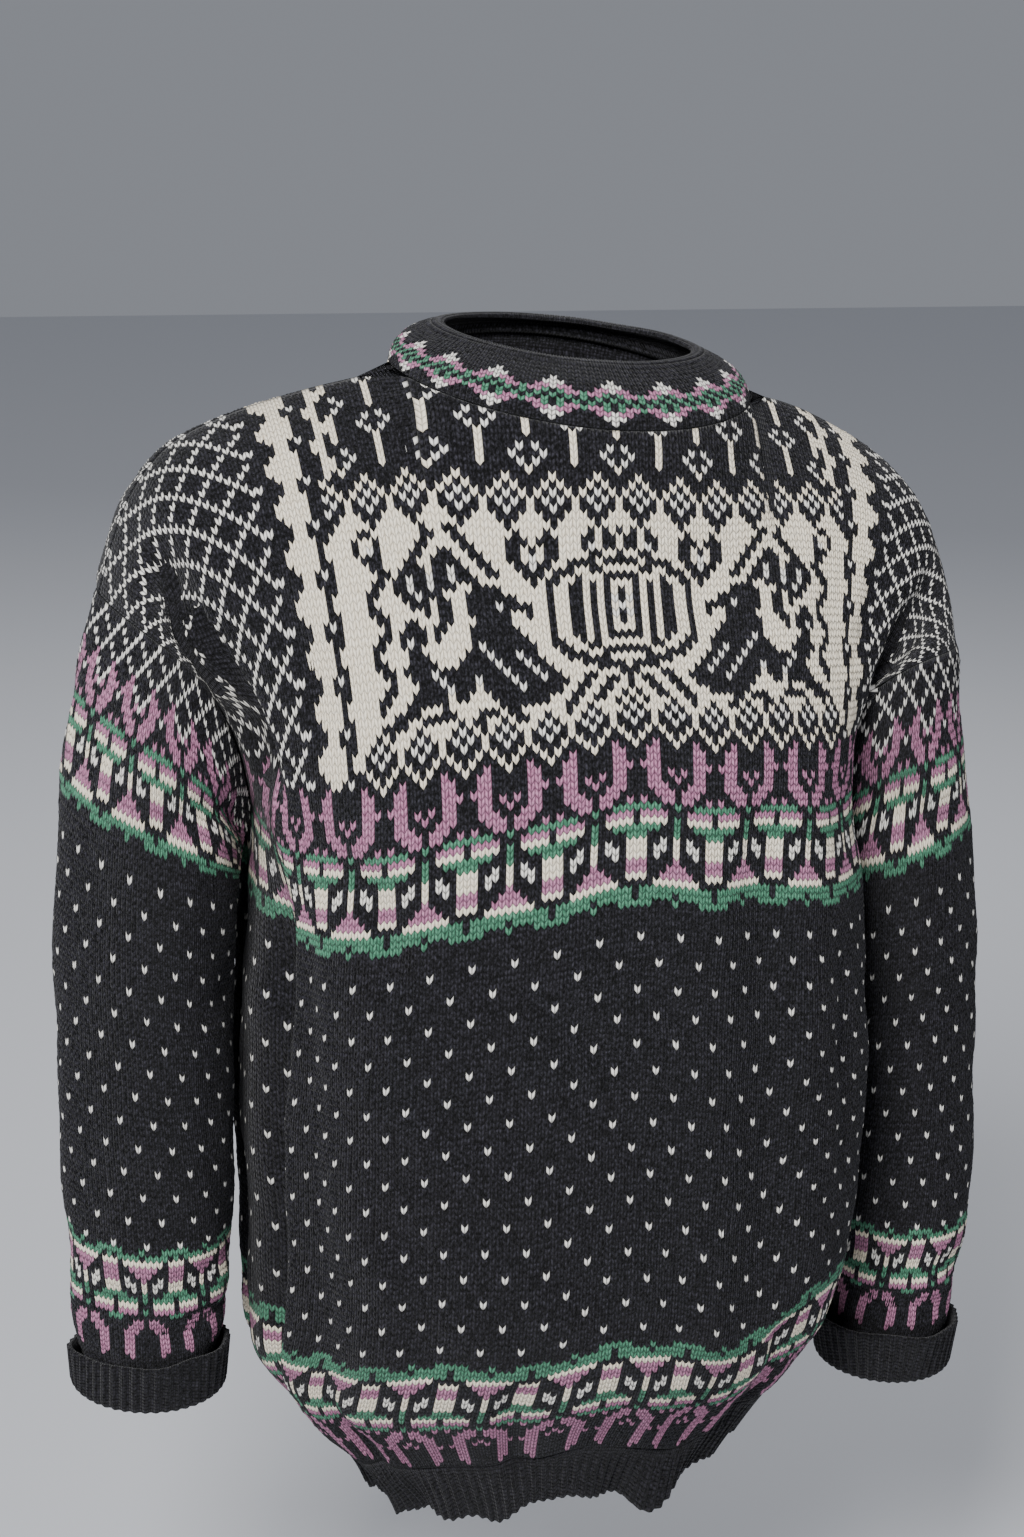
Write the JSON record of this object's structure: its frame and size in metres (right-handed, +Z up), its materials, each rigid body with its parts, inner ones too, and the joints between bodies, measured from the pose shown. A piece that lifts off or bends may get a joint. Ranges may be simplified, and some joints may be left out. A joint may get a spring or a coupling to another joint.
{
  "type": "nordic yoke sweater",
  "caption": "Stranded-knit drop-shoulder wool sweater with a figured chest panel, lattice shoulders, patterned bands, dotted body, doubled collar, ribbed hem and turned-up cuffs.",
  "frame": {"origin": "where the wearer's neck and shoulders hold the garment, in the middle of the neck opening at the collar's foot", "axes": "+Z up along the garment's length; the front faces -Y; the wearer's right arm is on -X"},
  "size_m": [0.6004, 0.2917, 0.7341],
  "materials": {
    "patterned_knit": "stranded wool knit in heather charcoal, cream, mauve pink and green",
    "charcoal_rib": "heather charcoal wool rib"
  },
  "bodies": {
    "root": {"front": "patterned_knit", "back": "patterned_knit", "sleeve_right": "patterned_knit", "sleeve_left": "patterned_knit", "collar": "patterned_knit", "hem_rib": "charcoal_rib", "cuff_right": "charcoal_rib", "cuff_left": "charcoal_rib"}
  },
  "joints": []
}
